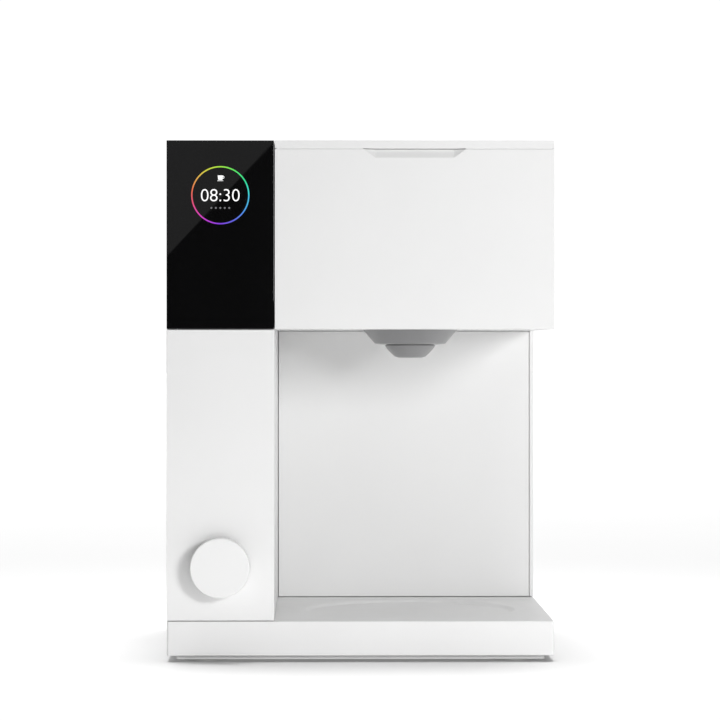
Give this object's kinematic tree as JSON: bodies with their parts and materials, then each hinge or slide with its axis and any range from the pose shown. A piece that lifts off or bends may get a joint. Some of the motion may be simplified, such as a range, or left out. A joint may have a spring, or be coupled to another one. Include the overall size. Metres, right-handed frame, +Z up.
{
  "type": "electric all in one brewer",
  "caption": "Countertop one-cup coffee brewer: control tower with display, knob and lift-out water tank, brew head with hinged lid, cup recess and base.",
  "frame": {"origin": "on the floor under the centre of the whole object's box, knob included", "axes": "+Z up, front with display and knob faces -Y, control tower at -X"},
  "size_m": [0.226, 0.226, 0.304],
  "materials": {
    "shell_white": "satin white moulded housing, very fine texture",
    "knob_white": "matte white, turned face",
    "display_glass": "polished black glass",
    "dark_plastic": "fine-textured dark moulding",
    "spout_grey": "satin grey moulding",
    "tank_clear": "lightly smoked clear moulding",
    "rubber": "matte pale grey rubber",
    "silicone": "pale grey silicone",
    "steel": "brushed stainless",
    "cast_aluminium": "rough cast",
    "circuit_board": "green solder mask"
  },
  "bodies": {
    "root": {"base_housing": "shell_white", "base_plate": "shell_white", "tower_front_panel": "shell_white", "tower_side_panel": "shell_white", "tower_top_panel": "shell_white", "tower_inner_panel": "shell_white", "tank_bay_wall": "shell_white", "head_front_panel": "shell_white", "right_side_panel": "shell_white", "back_panel": "shell_white", "rear_cover": "shell_white", "head_floor": "shell_white", "head_deck": "shell_white", "hinge_cover": "shell_white", "display_glass": "display_glass", "display_frame": "dark_plastic", "display_module": "dark_plastic", "knob_bush": "dark_plastic", "brew_well": "dark_plastic", "tank_dock": "dark_plastic", "flow_meter": "dark_plastic", "pump_clamp": "dark_plastic", "power_inlet": "dark_plastic", "water_port": "dark_plastic", "outlet_cone": "spout_grey", "foot_front_left": "rubber", "foot_front_right": "rubber", "foot_rear_left": "rubber", "foot_rear_right": "rubber", "dock_seal": "silicone", "hose_tank_to_meter": "silicone", "hose_pump_to_heater": "silicone", "hose_heater_to_port": "silicone", "base_screw_front_left": "steel", "base_screw_front_right": "steel", "base_screw_rear_left": "steel", "base_screw_rear_right": "steel", "encoder_body": "steel", "lid_hinge_pin": "steel", "drip_spring": "steel", "pump": "steel", "thermal_cutout": "steel", "heater": "cast_aluminium", "control_board": "circuit_board", "power_board": "circuit_board"},
    "lid": {"lid_panel": "shell_white", "lid_liner": "dark_plastic", "shower_plate": "steel"},
    "basket": {"brew_basket": "dark_plastic", "basket_handle": "steel", "mesh_filter": "steel"},
    "drip_valve": {"drip_nozzle": "spout_grey", "drip_washer": "silicone"},
    "encoder_shaft": {"encoder_shaft": "steel"},
    "knob": {"knob": "knob_white"},
    "water_tank": {"water_tank": "tank_clear", "tank_collar": "shell_white", "tank_lid_pin": "steel", "tank_valve": "dark_plastic"},
    "tank_lid": {"tank_lid": "shell_white"}
  },
  "joints": [
    {"name": "lid_hinge", "type": "hinge", "parent": "root", "child": "lid", "pos_m": [0.0315, 0.096, 0.3017], "axis": [-1, 0, 0], "range_deg": [0, 92]},
    {"name": "basket_lift", "type": "slide", "parent": "root", "child": "basket", "axis": [0, 0, 1], "range_m": [0, 0.005]},
    {"name": "drip_stop", "type": "slide", "parent": "root", "child": "drip_valve", "axis": [0, 0, 1], "range_m": [0, 0.003], "stiffness_N_per_m": 150, "springref_m": -0.003, "deforming": ["drip_spring"]},
    {"name": "knob_turn", "type": "hinge", "parent": "root", "child": "encoder_shaft", "pos_m": [-0.0817, -0.1, 0.0557], "axis": [0, -1, 0], "continuous": true},
    {"name": "knob_press", "type": "slide", "parent": "encoder_shaft", "child": "knob", "axis": [0, 1, 0], "range_m": [0, 0.0012], "stiffness_N_per_m": 500, "springref_m": -0.002},
    {"name": "tank_lift", "type": "slide", "parent": "root", "child": "water_tank", "axis": [0, 0, 1], "range_m": [0, 0.28]},
    {"name": "tank_lid_hinge", "type": "hinge", "parent": "water_tank", "child": "tank_lid", "pos_m": [-0.0831, 0.1107, 0.3017], "axis": [-1, 0, 0], "range_deg": [0, 95]}
  ]
}
